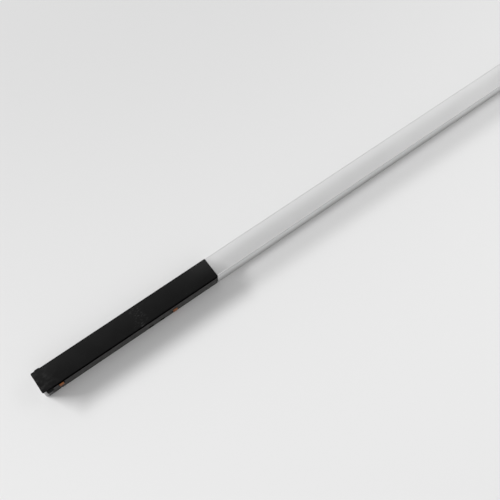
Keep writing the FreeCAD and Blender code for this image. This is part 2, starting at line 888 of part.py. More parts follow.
def capacitor_lying(label, x, length, radius):
    """Can capacitor on its side, with a crimp groove near its sealed end."""
    body = new_body(label, x=x, z=f"{BOARD_TOP} + {radius} + play")
    sketch = new_sketch(body, "XY_Plane")
    groove = f"{radius} - crimp_depth"
    corners = [
        ("0", "0"),
        (length, "0"),
        (length, radius),
        ("crimp_start + 3 * crimp_slope", radius),
        ("crimp_start + 2 * crimp_slope", groove),
        ("crimp_start + crimp_slope", groove),
        ("crimp_start", radius),
        ("0", radius),
    ]
    add_outline(sketch, corners)
    spin = body.newObject("PartDesign::Revolution", label + "_turned")
    spin.Profile = sketch
    spin.ReferenceAxis = (sketch, ["H_Axis"])
    spin.Angle = 360


def choke():
    """Drum core on its side: two square flanges and a narrower waist between them."""
    start = "choke_start"
    size = "choke_size"
    core = block("choke_core_blank", start, "0", BOARD_TOP, size, size, "choke_height")
    level = f"{BOARD_TOP} + choke_flange"
    tall = "choke_height - 2 * choke_flange"
    side_cut = "choke_size - choke_waist"
    longer = (f"{start} - 1", f"{size} + 2")
    waist = []
    for name, side in (("left", 1), ("right", -1)):
        y = f"{side} * choke_size / 2"
        tool = block(f"choke_waist_{name}", longer[0], y, level, longer[1], side_cut, tall)
        waist.append(tool)
    subpart(cut("choke_core", core, waist), "choke_core")


def transformer():
    """Ferrite yoke with a winding through its window."""
    length = "yoke_length"
    yoke = block("transformer_blank", "yoke_start", "0", BOARD_TOP, length, "yoke_width", "yoke_height")
    inside = "yoke_length - 2 * yoke_leg"
    tall = "yoke_height - 2 * yoke_flange"
    level = f"{BOARD_TOP} + yoke_flange"
    start = "yoke_start + yoke_leg"
    window = block("transformer_window", start, "0", level, inside, "yoke_width + 2", tall)
    subpart(cut("transformer_core", yoke, [window]), "transformer_core")
    winding = block(
        "transformer_winding",
        f"{start} + slack",
        "0",
        f"{level} + slack",
        f"{inside} - 2 * slack",
        "winding_width",
        f"{tall} - 2 * slack",
    )
    subpart(winding, "transformer_winding")


def driver_components():
    capacitor_lying("bulk_capacitor", "bulk_start", "bulk_length", "bulk_radius")
    output_can = rod("output_capacitor", "can_x", "0", BOARD_TOP, "can_radius", "can_height")
    subpart(output_can, "output_capacitor")
    choke()
    transformer()
    x = "transistor_x"
    transistor_size = ("transistor_length", "transistor_width", "transistor_height")
    transistor = block("power_transistor", x, "-chip_side", BOARD_TOP, *transistor_size)
    subpart(transistor, "power_transistor")
    chip_size = ("chip_length", "chip_width", "chip_height")
    chip = block("controller_chip", x, "chip_side", BOARD_TOP, *chip_size)
    subpart(chip, "controller_chip")
    resistors = []
    for x, y in RESISTORS:
        name = f"chip_resistor_{len(resistors)}"
        size = ("resistor_length", "resistor_width", "resistor_height")
        resistors.append(block(name, x, y, BOARD_TOP, *size))
    group("chip_resistors", resistors)


def insulation_film():
    """Film between the housing's floor and the underside of the board."""
    size = ("film_length", "film_width", "film_thick")
    film = block("insulation_sheet", "film_start", "0", "floor", *size)
    subpart(film, "insulation_sheet")


def wire_shape(points, radius):
    """Round wire along a bent path, with rounded bends."""
    path = Part.makePolygon([Vector(*[number(c) for c in point]) for point in points])
    start = path.Edges[0].Vertexes[0].Point
    heading = path.Edges[0].Vertexes[1].Point - start
    profile = Part.Wire(Part.makeCircle(radius, start, heading))
    return path.makePipeShell([profile], True, False, 2)


def wires(label, paths):
    """Insulated wires of one run. Each is a sweep along a three-dimensional path."""
    item = doc.addObject("Part::Feature", label)
    radius = number("wire_radius")
    item.Shape = Part.makeCompound([wire_shape(path, radius) for path in paths])
    place(item)
    return subpart(item, label)


def supply_wires():
    """From the contact plates to the driver's input terminal."""
    plate = "seat - play"
    far = "input_start + input_length / 2"
    terminal = "wire_roof - wire_drop"
    paths = []
    for side in (1, -1):
        paths.append(
            [
                ("front_contact", f"{side} * ({plate})", "upper_level"),
                ("front_contact", f"{side} * wire_side", "upper_level"),
                ("input_start - play", f"{side} * wire_side", "upper_level"),
            ]
        )
        lane = f"{side} * wire_lane"
        inset = f"{side} * (wire_side + 3 * slack)"
        paths.append(
            [
                ("rear_contact", f"{side} * ({plate})", "lower_level"),
                ("rear_contact", inset, "lower_level"),
                ("riser_start", inset, "lower_level + wire_drop"),
                ("riser_end", lane, "wire_roof"),
                ("dive_start", lane, "wire_roof"),
                (far, lane, terminal),
                (far, f"{side} * (input_half + play)", terminal),
            ]
        )
    wires("supply_wires", paths)


def lamp_wires():
    """From the driver's output terminal through the joint to the light's connector."""
    level = "wire_roof - wire_drop"
    port = "(port_low + port_high) / 2"
    paths = []
    for side in (1, -1):
        y = f"{side} * lamp_wire_side"
        paths.append(
            [
                ("output_start + output_length + play", y, level),
                ("lamp_wire_bend", y, level),
                ("lamp_wire_low", y, port),
                ("connector_start - play", y, port),
            ]
        )
    wires("lamp_wires", paths)


# ---- coupling ------------------------------------------------------------------------------


def coupling_bar():
    """Steel bar lying on both floors across the joint, tapped for four screws."""
    body = new_body("coupling_bar")
    top = "floor + bar_thick"
    box_pad(body, "bar_start", "bar_end", "-bar_half", "bar_half", "floor", top)
    round_pocket(body, [(x, "0") for x in BAR_SCREWS], "bar_shank + bar_thread_gap", "floor", top)


# ---- light section -------------------------------------------------------------------------


def mirrored(half):
    """A closed outline from its right half, listed from the bottom up."""
    left = [(f"-({y})", z) for y, z in reversed(half)]
    return half + left


def light_profile():
    """Extruded channel with rims that frame the diffuser and ledges that carry it."""
    body = new_body("light_profile", x="adapter_length")
    sketch = new_sketch(body, "YZ_Plane")
    inner = "width / 2 - rim"
    ledge_end = "width / 2 - rim - ledge"
    ledge_low = "ledge_top - ledge_thick"
    outside = [("width / 2", "0"), ("width / 2", "rim_top"), (inner, "rim_top"), (inner, "ledge_top")]
    inside = [(ledge_end, "ledge_top"), (ledge_end, ledge_low), (inner, ledge_low), (inner, "floor")]
    add_outline(sketch, mirrored(outside + inside))
    pad(body, sketch, "light_length - cap_thick")
    low_edges = lambda edge: edge.BoundBox.ZMax < 0.01 and edge.BoundBox.YLength < 0.01
    dress_edges(body, "Fillet", "profile_round", low_edges)
    top = number("rim_top")
    rim = number("width / 2")
    high_edges = lambda edge: (
        edge.BoundBox.ZMin > top - 0.01
        and abs(abs(edge.CenterOfMass.y) - rim) < 0.01
        and edge.BoundBox.YLength < 0.01
    )
    dress_edges(body, "Fillet", "rim_round", high_edges)
    bar_holes = [(f"{x} - adapter_length", "0") for x in BAR_SCREWS[2:]]
    round_pocket(body, bar_holes, "bar_shank + hole_gap", "0", "floor")
    countersink(body, "bar_shank", "bar_head")
    cap_holes = both_sides(f"{CAP_SCREW_X} - adapter_length", "cap_screw_side")
    round_pocket(body, cap_holes, "small_shank + hole_gap", "0", "floor")
    countersink(body, "small_shank", "small_head")


def diffuser():
    """Opal cover of the light: a crowned strip with two legs that stand on the ledges."""
    body = new_body("diffuser", x="adapter_length")
    sketch = new_sketch(body, "YZ_Plane")
    outer = "width / 2 - rim - diffuser_gap"
    inner = "width / 2 - rim - diffuser_gap - diffuser_leg"
    foot = "ledge_top + play"
    ceiling = "diffuser_edge - diffuser_thick"
    corners = [
        (f"-({outer})", "diffuser_edge"),
        (f"-({outer})", foot),
        (f"-({inner})", foot),
        (f"-({inner})", ceiling),
        (inner, ceiling),
        (inner, foot),
        (outer, foot),
        (outer, "diffuser_edge"),
    ]
    add_outline(sketch, corners, crown=("0", "height"))
    pad(body, sketch, "light_length - cap_thick - slack")


def light_end_plate():
    """Inner plate that closes the light towards the adapter, open for the bar and the wires."""
    body = new_body("light_end_plate", x="adapter_length + slack")
    half = "width / 2 - rim - ledge - slack"
    top = "diffuser_edge - diffuser_thick - slack"
    sketch = new_sketch(body, "YZ_Plane")
    add_rectangle(sketch, f"-({half})", half, "floor", top)
    pad(body, sketch, "end_plate")
    openings = new_sketch(body, "YZ_Plane", "end_plate")
    bar = "bar_half + slack"
    add_rectangle(openings, f"-({bar})", bar, "floor", "floor + bar_thick + slack")
    add_rectangle(openings, "-port_half", "port_half", "port_low", "port_high")
    pocket(body, openings, "end_plate")


def light_end_cap():
    """Far end cap: a plate with the light's own outline and a plug that takes two screws."""
    body = new_body("light_end_cap", x=f"{LIGHT_END} - cap_thick")
    sketch = new_sketch(body, "YZ_Plane")
    corners = [
        ("-width / 2", "diffuser_edge"),
        ("-width / 2", "0"),
        ("width / 2", "0"),
        ("width / 2", "diffuser_edge"),
    ]
    add_outline(sketch, corners, crown=("0", "height"))
    pad(body, sketch, "cap_thick")
    thick = number("cap_thick")
    low = lambda edge: edge.BoundBox.ZMax < 0.01 and edge.BoundBox.YLength < 0.01
    dress_edges(body, "Fillet", "profile_round", low)
    dress_edges(body, "Chamfer", "cap_chamfer", lambda edge: edge.BoundBox.XMin > thick - 0.01)
    half = "width / 2 - rim - ledge - 2 * slack"
    top = "ledge_top - ledge_thick - slack"
    box_pad(body, "-cap_plug", "bond", f"-({half})", half, "floor", top)
    holes = both_sides("cap_thick - cap_screw_inset", "cap_screw_side")
    round_pocket(body, holes, "small_shank + thread_gap", "floor", "floor + cap_screw")


def heat_spreader():
    body = new_body("heat_spreader")
    top = LED_BOARD_BOTTOM
    half = "led_board_half"
    box_pad(body, "spreader_start", "led_board_end", f"-{half}", half, "floor", top)
    round_pocket(body, led_screw_centres(), "small_shank + thread_gap", "floor", top)


def led_screw_centres():
    return [(f"led_screw_first + {i} * led_screw_pitch", "0") for i in range(LED_SCREW_COUNT)]


def led_board():
    body = new_body("led_board")
    half = "led_board_half"
    low = LED_BOARD_BOTTOM
    top = LED_BOARD_TOP
    box_pad(body, "led_board_start", "led_board_end", f"-{half}", half, low, top)
    round_pocket(body, led_screw_centres(), "small_shank + hole_gap", low, top)


def led_packages():
    packages = []
    for index in range(LED_COUNT):
        x = f"led_first + {index} * led_pitch - led_length / 2"
        name = f"led_{index}"
        size = ("led_length", "led_width", "led_thick")
        packages.append(block(name, x, "0", LED_BOARD_TOP, *size))
    group("led_packages", packages)


def led_board_screws():
    screws = []
    for x, y in led_screw_centres():
        name = f"led_screw_{len(screws)}"
        sizes = ("small_shank", "small_head", "led_screw")
        screws.append(pan_screw(name, x, y, LED_BOARD_TOP, *sizes))
    group("led_board_screws", screws)


def led_connector():
    body = new_body("led_connector", x="connector_start", z=LED_BOARD_TOP)
    length = "connector_length"
    top = "connector_height"
    box_pad(body, "0", length, "-connector_half", "connector_half", "0", top)
    latch = new_sketch(body, "XY_Plane", top)
    add_rectangle(latch, f"{length} - latch_length", length, "-latch_half", "latch_half")
    pocket(body, latch, "latch_depth")


# ---- whole lamp ----------------------------------------------------------------------------


def build_adapter():
    adapter_cover()
    adapter_housing()
    latch_block()
    release_tab()
    locking_ear("locking_ear_left", 1)
    locking_ear("locking_ear_right", -1)
    ear_spring()
    places = (("front", "front_contact", "upper_level"), ("rear", "rear_contact", "lower_level"))
    for end, x, level in places:
        contact_carrier(f"{end}_contact_carrier", x, level, open_top=end == "front")
        contact_plates(f"{end}_contact_plates", x, level)
        for name, side in (("left", 1), ("right", -1)):
            contact_shoe(f"{end}_{name}_contact_shoe", x, level, side)
            contact_spring(f"{end}_{name}_contact_spring", x, level, side)
    small = ("small_shank", "small_head")
    cover_centres = both_sides("boss_front", "boss_side") + both_sides("boss_rear", "boss_side")
    screw_row("cover_screws", cover_centres, *small, "cover_screw")
    latch_centres = both_sides("latch_screw_x", "latch_screw_side")
    screw_row("latch_screws", latch_centres, *small, "latch_screw")


def build_driver():
    insulation_film()
    driver_board()
    board_screws()
    terminal_block("input_terminal", "input_start", "input_length", "input_half", 4)
    terminal_block("output_terminal", "output_start", "output_length", "output_half", 2)
    driver_components()
    supply_wires()
    lamp_wires()


def build_light():
    coupling_bar()
    bar_centres = [(x, "0") for x in BAR_SCREWS]
    screw_row("coupling_screws", bar_centres, "bar_shank", "bar_head", "bar_screw")
    light_profile()
    diffuser()
    light_end_plate()
    light_end_cap()
    cap_centres = both_sides(CAP_SCREW_X, "cap_screw_side")
    screw_row("end_cap_screws", cap_centres, "small_shank", "small_head", "cap_screw")
    heat_spreader()
    led_board()
    led_packages()
    led_board_screws()
    led_connector()


def check_document():
    """Stop on a failed object, an empty or invalid shape, or a cut that took nothing away."""
    for item in doc.Objects:
        if "Invalid" in item.State or "Error" in item.State:
            raise RuntimeError(f"{item.Label} failed: {item.State}")
        if item.TypeId == "PartDesign::Pocket":
            if item.Shape.Volume > item.BaseFeature.Shape.Volume - 1e-3:
                raise RuntimeError(f"{item.Label} cuts nothing")
    for item in subparts:
        if item.Shape.isNull() or not item.Shape.isValid() or not item.Shape.Solids:
            raise RuntimeError(f"{item.Label} has no valid shape")


def export_parts():
    os.makedirs("parts", exist_ok=True)
    for item in subparts:
        item.Shape.exportStep(f"parts/{item.Label}.step")


fill_sheet()
build_adapter()
build_driver()
build_light()
doc.recompute()
check_document()
export_parts()
print(len(subparts), "sub-parts")
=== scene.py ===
import math

import bpy
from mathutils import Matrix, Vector

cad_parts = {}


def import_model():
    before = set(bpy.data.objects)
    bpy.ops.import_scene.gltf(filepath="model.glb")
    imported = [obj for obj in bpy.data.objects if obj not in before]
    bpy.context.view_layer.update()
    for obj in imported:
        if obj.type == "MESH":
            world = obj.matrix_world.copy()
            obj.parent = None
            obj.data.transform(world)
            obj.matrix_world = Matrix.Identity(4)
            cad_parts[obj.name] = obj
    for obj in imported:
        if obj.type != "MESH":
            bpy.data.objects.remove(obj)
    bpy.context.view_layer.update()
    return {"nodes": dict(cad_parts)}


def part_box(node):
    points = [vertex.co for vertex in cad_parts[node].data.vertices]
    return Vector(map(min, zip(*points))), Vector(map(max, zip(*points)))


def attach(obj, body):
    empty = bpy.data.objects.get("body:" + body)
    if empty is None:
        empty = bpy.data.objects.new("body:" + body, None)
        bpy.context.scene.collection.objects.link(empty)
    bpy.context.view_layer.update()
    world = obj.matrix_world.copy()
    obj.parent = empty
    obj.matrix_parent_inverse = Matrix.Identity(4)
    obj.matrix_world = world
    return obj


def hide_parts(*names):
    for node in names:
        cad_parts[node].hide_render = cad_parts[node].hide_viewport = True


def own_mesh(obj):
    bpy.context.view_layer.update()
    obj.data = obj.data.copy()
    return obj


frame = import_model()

# Linear light insert for a lighting track: black adapter box in line with a white light section.
# Everything is in metres, in the row frame, except the sizes and depths handed to the methods
# noise, clouds, rounded, edge, soften and relief, which are in millimetres.

MM = 0.001
NODES = frame["nodes"]

FREE_END_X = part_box("adapter_cover")[0].x
JOINT_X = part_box("light_profile")[0].x
HALF_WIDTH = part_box("light_profile")[1].y
WALL_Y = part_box("adapter_housing")[1].y
RIM_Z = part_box("adapter_housing")[1].z
COVER_TOP_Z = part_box("adapter_cover")[1].z

HANDLED_END_X = FREE_END_X + 26 * MM
RUB_MARK_X = FREE_END_X + 117 * MM
# Where painted shade darkens the insides of the housing's side slots.
SLOTS_MID_X = FREE_END_X + 129.5 * MM
SLOTS_REACH_X = 11 * MM
SLOT_MID_Z = 2.0 * MM
SLOT_REACH_Z = 1.6 * MM


# ---- materials -----------------------------------------------------------------------------

NOISE_LOW, NOISE_HIGH = 0.3, 0.7
BEVEL_SAMPLES = 4
EDGE_LOW, EDGE_HIGH = 0.02, 0.3
DEEP_SHADE = 2
WHITE_LETS_THROUGH = 0.87


def srgb(red, green=None, blue=None):
    """A linear colour from display values of 0 to 255. One value alone is a grey."""
    values = (red, red if green is None else green, red if blue is None else blue)
    linear = []
    for value in values:
        share = value / 255
        linear.append(share / 12.92 if share <= 0.04045 else ((share + 0.055) / 1.055) ** 2.4)
    return (*linear, 1.0)


class Finish:
    """One procedural material. Its methods add nodes, and most return an output socket."""

    def __init__(self, slot, roughness=0.5, metallic=0.0, specular=0.5):
        self.material = bpy.data.materials.new(slot + "_finish")
        self.material.use_nodes = True
        self.tree = self.material.node_tree
        self.shader = self.tree.nodes["Principled BSDF"]
        self.place = self.tree.nodes.new("ShaderNodeTexCoord").outputs["Object"]
        self.normal = None
        self.set(Roughness=roughness, Metallic=metallic, Specular_IOR_Level=specular)

    def feed(self, socket, value):
        if isinstance(value, bpy.types.NodeSocket):
            self.tree.links.new(value, socket)
        else:
            socket.default_value = value

    def node(self, kind, inputs, **settings):
        node = self.tree.nodes.new(kind)
        for name, value in settings.items():
            setattr(node, name, value)
        for key, value in inputs.items():
            self.feed(node.inputs[key], value)
        return node

    def set(self, **inputs):
        """Feed the shader's inputs, named with underscores for spaces."""
        for name, value in inputs.items():
            self.feed(self.shader.inputs[name.replace("_", " ")], value)

    def axis(self, index):
        """The place along X, Y or Z."""
        return self.node("ShaderNodeSeparateXYZ", {0: self.place}).outputs[index]

    def math(self, operation, first, second=0.0):
        return self.node("ShaderNodeMath", {0: first, 1: second}, operation=operation).outputs[0]

    def product(self, first, *others):
        for other in others:
            first = self.math("MULTIPLY", first, other)
        return first

    def away(self, index, middle):
        """How far the place along X, Y or Z is from a middle, either way."""
        return self.math("ABSOLUTE", self.math("SUBTRACT", self.axis(index), middle))

    def spread(self, value, low, high, start=0.0, end=1.0):
        """A smooth step from start at low to end at high."""
        names = ("From Min", "From Max", "To Min", "To Max")
        inputs = {"Value": value, **dict(zip(names, (low, high, start, end)))}
        return self.node("ShaderNodeMapRange", inputs, interpolation_type="SMOOTHSTEP").outputs[0]

    def noise(self, size, detail=3.0, stretch=(1, 1, 1), shift=0.0):
        """Noise about 0.5 whose features are about size millimetres across."""
        mapping = {"Vector": self.place, "Scale": stretch, "Location": (shift, shift, shift)}
        moved = self.node("ShaderNodeMapping", mapping)
        inputs = {"Vector": moved.outputs[0], "Scale": 1 / (size * MM), "Detail": detail}
        return self.node("ShaderNodeTexNoise", inputs).outputs["Fac"]

    def clouds(self, size, low=NOISE_LOW, high=NOISE_HIGH, **look):
        """Noise that is 0 up to low and 1 from high."""
        return self.spread(self.noise(size, **look), low, high)

    def mix(self, share, first, second):
        """Two colours mixed by share."""
        inputs = {0: share, 6: first, 7: second}
        return self.node("ShaderNodeMix", inputs, data_type="RGBA").outputs[2]

    def lay(self, base, tone, *shares):
        """A tone laid over a base colour by the product of the shares."""
        return self.mix(self.product(*shares), base, tone)

    def rounded(self, radius):
        """The normal as if all edges were rounded by radius."""
        inputs = {"Radius": radius * MM}
        return self.node("ShaderNodeBevel", inputs, samples=BEVEL_SAMPLES).outputs[0]

    def edge(self, radius):
        """Near 1 on edges sharper than radius, 0 on flat stretches."""
        facing = self.tree.nodes.new("ShaderNodeNewGeometry").outputs["Normal"]
        inputs = {0: self.rounded(radius), 1: facing}
        alike = self.node("ShaderNodeVectorMath", inputs, operation="DOT_PRODUCT").outputs["Value"]
        return self.spread(self.math("SUBTRACT", 1.0, alike), EDGE_LOW, EDGE_HIGH)

    def roughen(self, value, low, high):
        """Let the roughness follow a noise value from low to high."""
        self.set(Roughness=self.spread(value, NOISE_LOW, NOISE_HIGH, low, high))

    def soften(self, radius):
        """Shade the edges as if rounded by radius."""
        self.normal = self.rounded(radius)
        self.set(Normal=self.normal)

    def relief(self, height, depth, strength=0.5):
        """Bump of this depth, on top of the relief that is already there."""
        inputs = {"Height": height, "Distance": depth * MM, "Strength": strength}
        if self.normal:
            inputs["Normal"] = self.normal
        self.normal = self.node("ShaderNodeBump", inputs).outputs[0]
        self.set(Normal=self.normal)

    def shade(self, share):
        """Fade the base colour and the sheen towards black by share."""
        base = self.shader.inputs["Base Color"].links[0].from_socket
        sheen = self.shader.inputs["Specular IOR Level"].default_value
        kept = self.math("MULTIPLY", self.math("SUBTRACT", 1.0, share), sheen)
        self.set(Base_Color=self.mix(share, base, srgb(DEEP_SHADE)), Specular_IOR_Level=kept)

    def clear(self, share):
        """Make the surface see-through by share."""
        nothing = self.tree.nodes.new("ShaderNodeBsdfTransparent").outputs[0]
        inputs = {0: share, 1: self.shader.outputs[0], 2: nothing}
        both = self.node("ShaderNodeMixShader", inputs).outputs[0]
        self.feed(self.tree.nodes["Material Output"].inputs["Surface"], both)

    def pass_light(self, share):
        """Let a share of the light that would make a shadow through each surface."""
        ray = self.tree.nodes.new("ShaderNodeLightPath").outputs["Is Shadow Ray"]
        self.clear(self.math("MULTIPLY", ray, share))


def moulded(slot, light, dark, roughness=0.5, grain=0.35, worn=None):
    """Moulded plastic: cloudy tone, fine spark-eroded grain and edges rubbed a little paler."""
    finish = Finish(slot, specular=0.4)
    colour = finish.mix(finish.clouds(14, detail=4), dark, light)
    if worn:
        colour = finish.lay(colour, worn, finish.edge(0.35), finish.clouds(3, 0.35))
    finish.set(Base_Color=colour)
    finish.roughen(finish.noise(5, detail=5, shift=3.0), roughness - 0.07, roughness + 0.09)
    finish.soften(0.15)
    finish.relief(finish.noise(grain, detail=2), 0.02, 0.35)
    return finish


def metal(slot, light, dark, roughness=0.3, stretch=(1, 1, 1), tarnish=None, mark=2.0):
    """Metal with drawn or brushed marks along the long way of stretch, and patches of tarnish."""
    finish = Finish(slot, metallic=1.0)
    marks = finish.noise(mark, detail=5, stretch=stretch)
    colour = finish.mix(finish.spread(marks, NOISE_LOW, NOISE_HIGH), dark, light)
    if tarnish:
        colour = finish.lay(colour, tarnish, finish.clouds(1.6, 0.5, 0.68, detail=5, shift=7.0))
    finish.set(Base_Color=colour)
    finish.roughen(marks, roughness - 0.06, roughness + 0.12)
    finish.soften(0.1)
    finish.relief(marks, 0.01, 0.25)
    return finish


def black_cover(slot):
    """Satin black plate: soft haze where it is handled, a faint rub mark and fine dust.

    Painted sheen makes it a little paler towards +Y and the joint, and painted shade makes it dark
    below its upper edge."""
    finish = Finish(slot, specular=0.12)
    # Painted sheen: paler towards +Y, and towards the joint on the +Y side.
    across = finish.spread(finish.axis(1), -HALF_WIDTH, HALF_WIDTH)
    base = finish.mix(across, srgb(6), srgb(15))
    painted_sheen_toward_joint = finish.spread(finish.axis(0), JOINT_X - 45 * MM, JOINT_X)
    base = finish.lay(base, srgb(33), painted_sheen_toward_joint, across)
    base = finish.lay(base, srgb(22), finish.clouds(22, 0.35, detail=4), 0.3)
    handled = finish.spread(finish.axis(0), HANDLED_END_X, FREE_END_X + 2 * MM)
    smudge = finish.clouds(6, 0.42, detail=5, stretch=(1, 1.6, 1), shift=2.0)
    base = finish.lay(base, srgb(38), handled, smudge)
    rub_zone = finish.spread(finish.away(0, RUB_MARK_X), 9 * MM, 2 * MM)
    streaks = finish.clouds(1.2, 0.52, 0.72, detail=4, stretch=(0.35, 1, 1), shift=5.0)
    base = finish.lay(base, srgb(48), rub_zone, streaks)
    base = finish.lay(base, srgb(44), finish.edge(0.4), finish.clouds(4, 0.4), 0.4)
    dust = finish.clouds(0.5, 0.74, 0.8, detail=1, shift=9.0)
    finish.set(Base_Color=finish.lay(base, srgb(120), dust, 0.35))
    finish.roughen(finish.noise(7, detail=5), 0.52, 0.58)
    # Painted shade: dark below the plate's upper edge, down in the gap.
    finish.shade(finish.spread(finish.axis(2), COVER_TOP_Z - 0.55 * MM, COVER_TOP_Z - 0.8 * MM))
    finish.relief(finish.noise(0.4, detail=2), 0.015, 0.3)
    return finish


def black_housing(slot):
    """Black tray. Painted shade darkens its rim in the shadow gap and the insides of its side
    slots.
    """
    finish = moulded(slot, srgb(48, 47, 46), srgb(40, 39, 38), worn=srgb(60))
    # Painted shade on the rim in the shadow gap and inside the side slots.
    painted_gap_shade = finish.spread(finish.axis(2), RIM_Z - 1.2 * MM, RIM_Z - 0.3 * MM)
    depth = finish.math("SUBTRACT", WALL_Y, finish.away(1, 0.0))
    inside = finish.spread(depth, 0.02 * MM, 0.2 * MM)
    along = finish.math("LESS_THAN", finish.away(0, SLOTS_MID_X), SLOTS_REACH_X)
    low_down = finish.math("LESS_THAN", finish.away(2, SLOT_MID_Z), SLOT_REACH_Z)
    finish.shade(finish.math("MAXIMUM", painted_gap_shade, finish.product(inside, along, low_down)))
    return finish


def clear_film(slot):
    """Insulating film under the driver: smoky, glossy and slightly wavy."""
    finish = Finish(slot, roughness=0.18)
    finish.set(Base_Color=finish.mix(finish.clouds(9), srgb(150, 128, 84), srgb(176, 156, 112)))
    finish.set(Transmission_Weight=0.35)
    finish.relief(finish.noise(4, detail=2), 0.08, 0.4)
    return finish


def circuit_board(slot):
    """Green solder mask over copper tracks that run mostly along the board."""
    finish = Finish(slot, roughness=0.3)
    raised = finish.clouds(2.4, 0.47, 0.5, detail=0, stretch=(0.18, 1, 1))
    finish.set(Base_Color=finish.mix(raised, srgb(14, 62, 34), srgb(34, 98, 52)))
    finish.relief(raised, 0.05, 0.6)
    finish.relief(finish.noise(0.6), 0.01, 0.3)
    return finish


def white_board(slot):
    """White solder mask over wide copper tracks."""
    finish = Finish(slot, roughness=0.35)
    raised = finish.clouds(5, 0.46, 0.5, detail=0, stretch=(0.1, 1, 1))
    finish.set(Base_Color=finish.mix(raised, srgb(212, 214, 210), srgb(232, 233, 230)))
    finish.relief(raised, 0.04, 0.5)
    return finish


def led_package(slot):
    """Glossy white ceramic frame of the LEDs."""
    finish = Finish(slot, roughness=0.25)
    finish.set(Base_Color=finish.mix(finish.clouds(1.5), srgb(216, 214, 204), srgb(238, 237, 230)))
    finish.relief(finish.noise(0.3), 0.01, 0.2)
    return finish


def capacitor_sleeve(slot):
    """Dark shrink sleeve with faint lengthwise creases."""
    finish = Finish(slot, roughness=0.34)
    finish.set(Base_Color=finish.mix(finish.clouds(6), srgb(22, 26, 40), srgb(36, 42, 60)))
    finish.relief(finish.noise(1.6, stretch=(0.2, 1, 1)), 0.04, 0.4)
    return finish


def ferrite(slot):
    """Sintered ferrite: dark, dry and finely pitted."""
    finish = Finish(slot, roughness=0.62)
    tone = finish.clouds(1.2, detail=6)
    finish.set(Base_Color=finish.mix(tone, srgb(40, 38, 37), srgb(66, 63, 60)))
    finish.relief(finish.noise(0.35, detail=5), 0.06, 0.6)
    return finish


def winding(slot):
    """Enamelled copper wire, darker where the varnish has pooled."""
    finish = Finish(slot, roughness=0.26, metallic=0.85)
    pooled = finish.clouds(2.2, 0.35, detail=4)
    finish.set(Base_Color=finish.mix(pooled, srgb(176, 96, 48), srgb(120, 58, 28)))
    finish.relief(finish.noise(0.5), 0.01, 0.3)
    return finish


def wire_sleeve(slot):
    """Silicone wire insulation with a powdery bloom."""
    finish = Finish(slot, roughness=0.6, specular=0.3)
    bloom = finish.clouds(2.5, 0.35, detail=5)
    finish.set(Base_Color=finish.mix(bloom, srgb(150, 36, 30), srgb(182, 66, 56)))
    finish.relief(finish.noise(0.4), 0.01, 0.3)
    return finish


def white_profile(slot):
    """White powder coat with fine orange peel. Painted shade makes it greyer low down, on the rim
    and on the +Y side.
    """
    finish = Finish(slot, roughness=0.42)
    dirt = finish.clouds(18, 0.4, 0.75, detail=5, stretch=(0.3, 1, 1))
    plain = finish.mix(dirt, srgb(221), srgb(212))
    # Painted shade: greyer low down, on the +Y side and on the rim.
    low_down = finish.spread(finish.axis(2), -2 * MM, 13 * MM, 1.0, 0.0)
    plain = finish.mix(low_down, plain, srgb(154))
    painted_far_side_shade = finish.spread(finish.axis(1), 0.9 * HALF_WIDTH, HALF_WIDTH)
    plain = finish.mix(painted_far_side_shade, plain, srgb(150))
    rim = finish.spread(finish.axis(2), 15.2 * MM, 16.2 * MM)
    finish.set(Base_Color=finish.mix(rim, plain, srgb(192)))
    finish.soften(0.2)
    finish.relief(finish.noise(0.9, detail=2), 0.02, 0.4)
    finish.pass_light(WHITE_LETS_THROUGH)
    return finish


def opal_diffuser(slot):
    """Opal acrylic. Painted light makes it a little brighter towards +Y, and painted shade darkens
    it over the end plate.
    """
    finish = Finish(slot, roughness=0.4)
    # Painted shade over the end plate, and painted light towards +Y.
    from_near_edge = finish.math("ADD", finish.axis(1), HALF_WIDTH)
    slanted = finish.math("ADD", finish.axis(0), finish.math("MULTIPLY", from_near_edge, 0.55))
    painted_plate_shade = finish.spread(slanted, JOINT_X - 2 * MM, JOINT_X + 22 * MM, 1.0, 0.0)
    cloudy = finish.clouds(30, stretch=(0.4, 1, 1))
    lit = finish.spread(finish.axis(1), -0.2 * HALF_WIDTH, HALF_WIDTH)
    plain = finish.mix(lit, finish.mix(cloudy, srgb(189), srgb(193)), srgb(202))
    finish.set(Base_Color=finish.mix(painted_plate_shade, plain, srgb(158)))
    finish.set(Subsurface_Weight=0.3, Subsurface_Scale=1)
    finish.set(Subsurface_Radius=(2 * MM, 2 * MM, 2 * MM))
    finish.relief(finish.noise(1.4, detail=2), 0.01, 0.25)
    finish.pass_light(WHITE_LETS_THROUGH)
    return finish


OWN_FINISHES = {
    "black_cover": black_cover,
    "black_housing": black_housing,
    "film": clear_film,
    "circuit_board": circuit_board,
    "capacitor_sleeve": capacitor_sleeve,
    "ferrite": ferrite,
    "winding": winding,
    "wire_sleeve": wire_sleeve,
    "white_profile": white_profile,
    "opal_diffuser": opal_diffuser,
    "white_board": white_board,
    "led_package": led_package,
}
PLASTICS = {
    "black_latch": {"light": srgb(38), "dark": srgb(28), "roughness": 0.42, "worn": srgb(80)},
    "grey_tab": {"light": srgb(176), "dark": srgb(160), "worn": srgb(196)},
    "brown_insulator": {"light": srgb(104, 84, 64), "dark": srgb(84, 66, 50)},
    "chip_plastic": {"light": srgb(44), "dark": srgb(30), "roughness": 0.6, "grain": 0.2},
    "green_terminal": {"light": srgb(40, 118, 70), "dark": srgb(30, 98, 58), "roughness": 0.4},
    "white_plastic": {"light": srgb(226), "dark": srgb(214), "roughness": 0.42, "worn": srgb(236)},
}
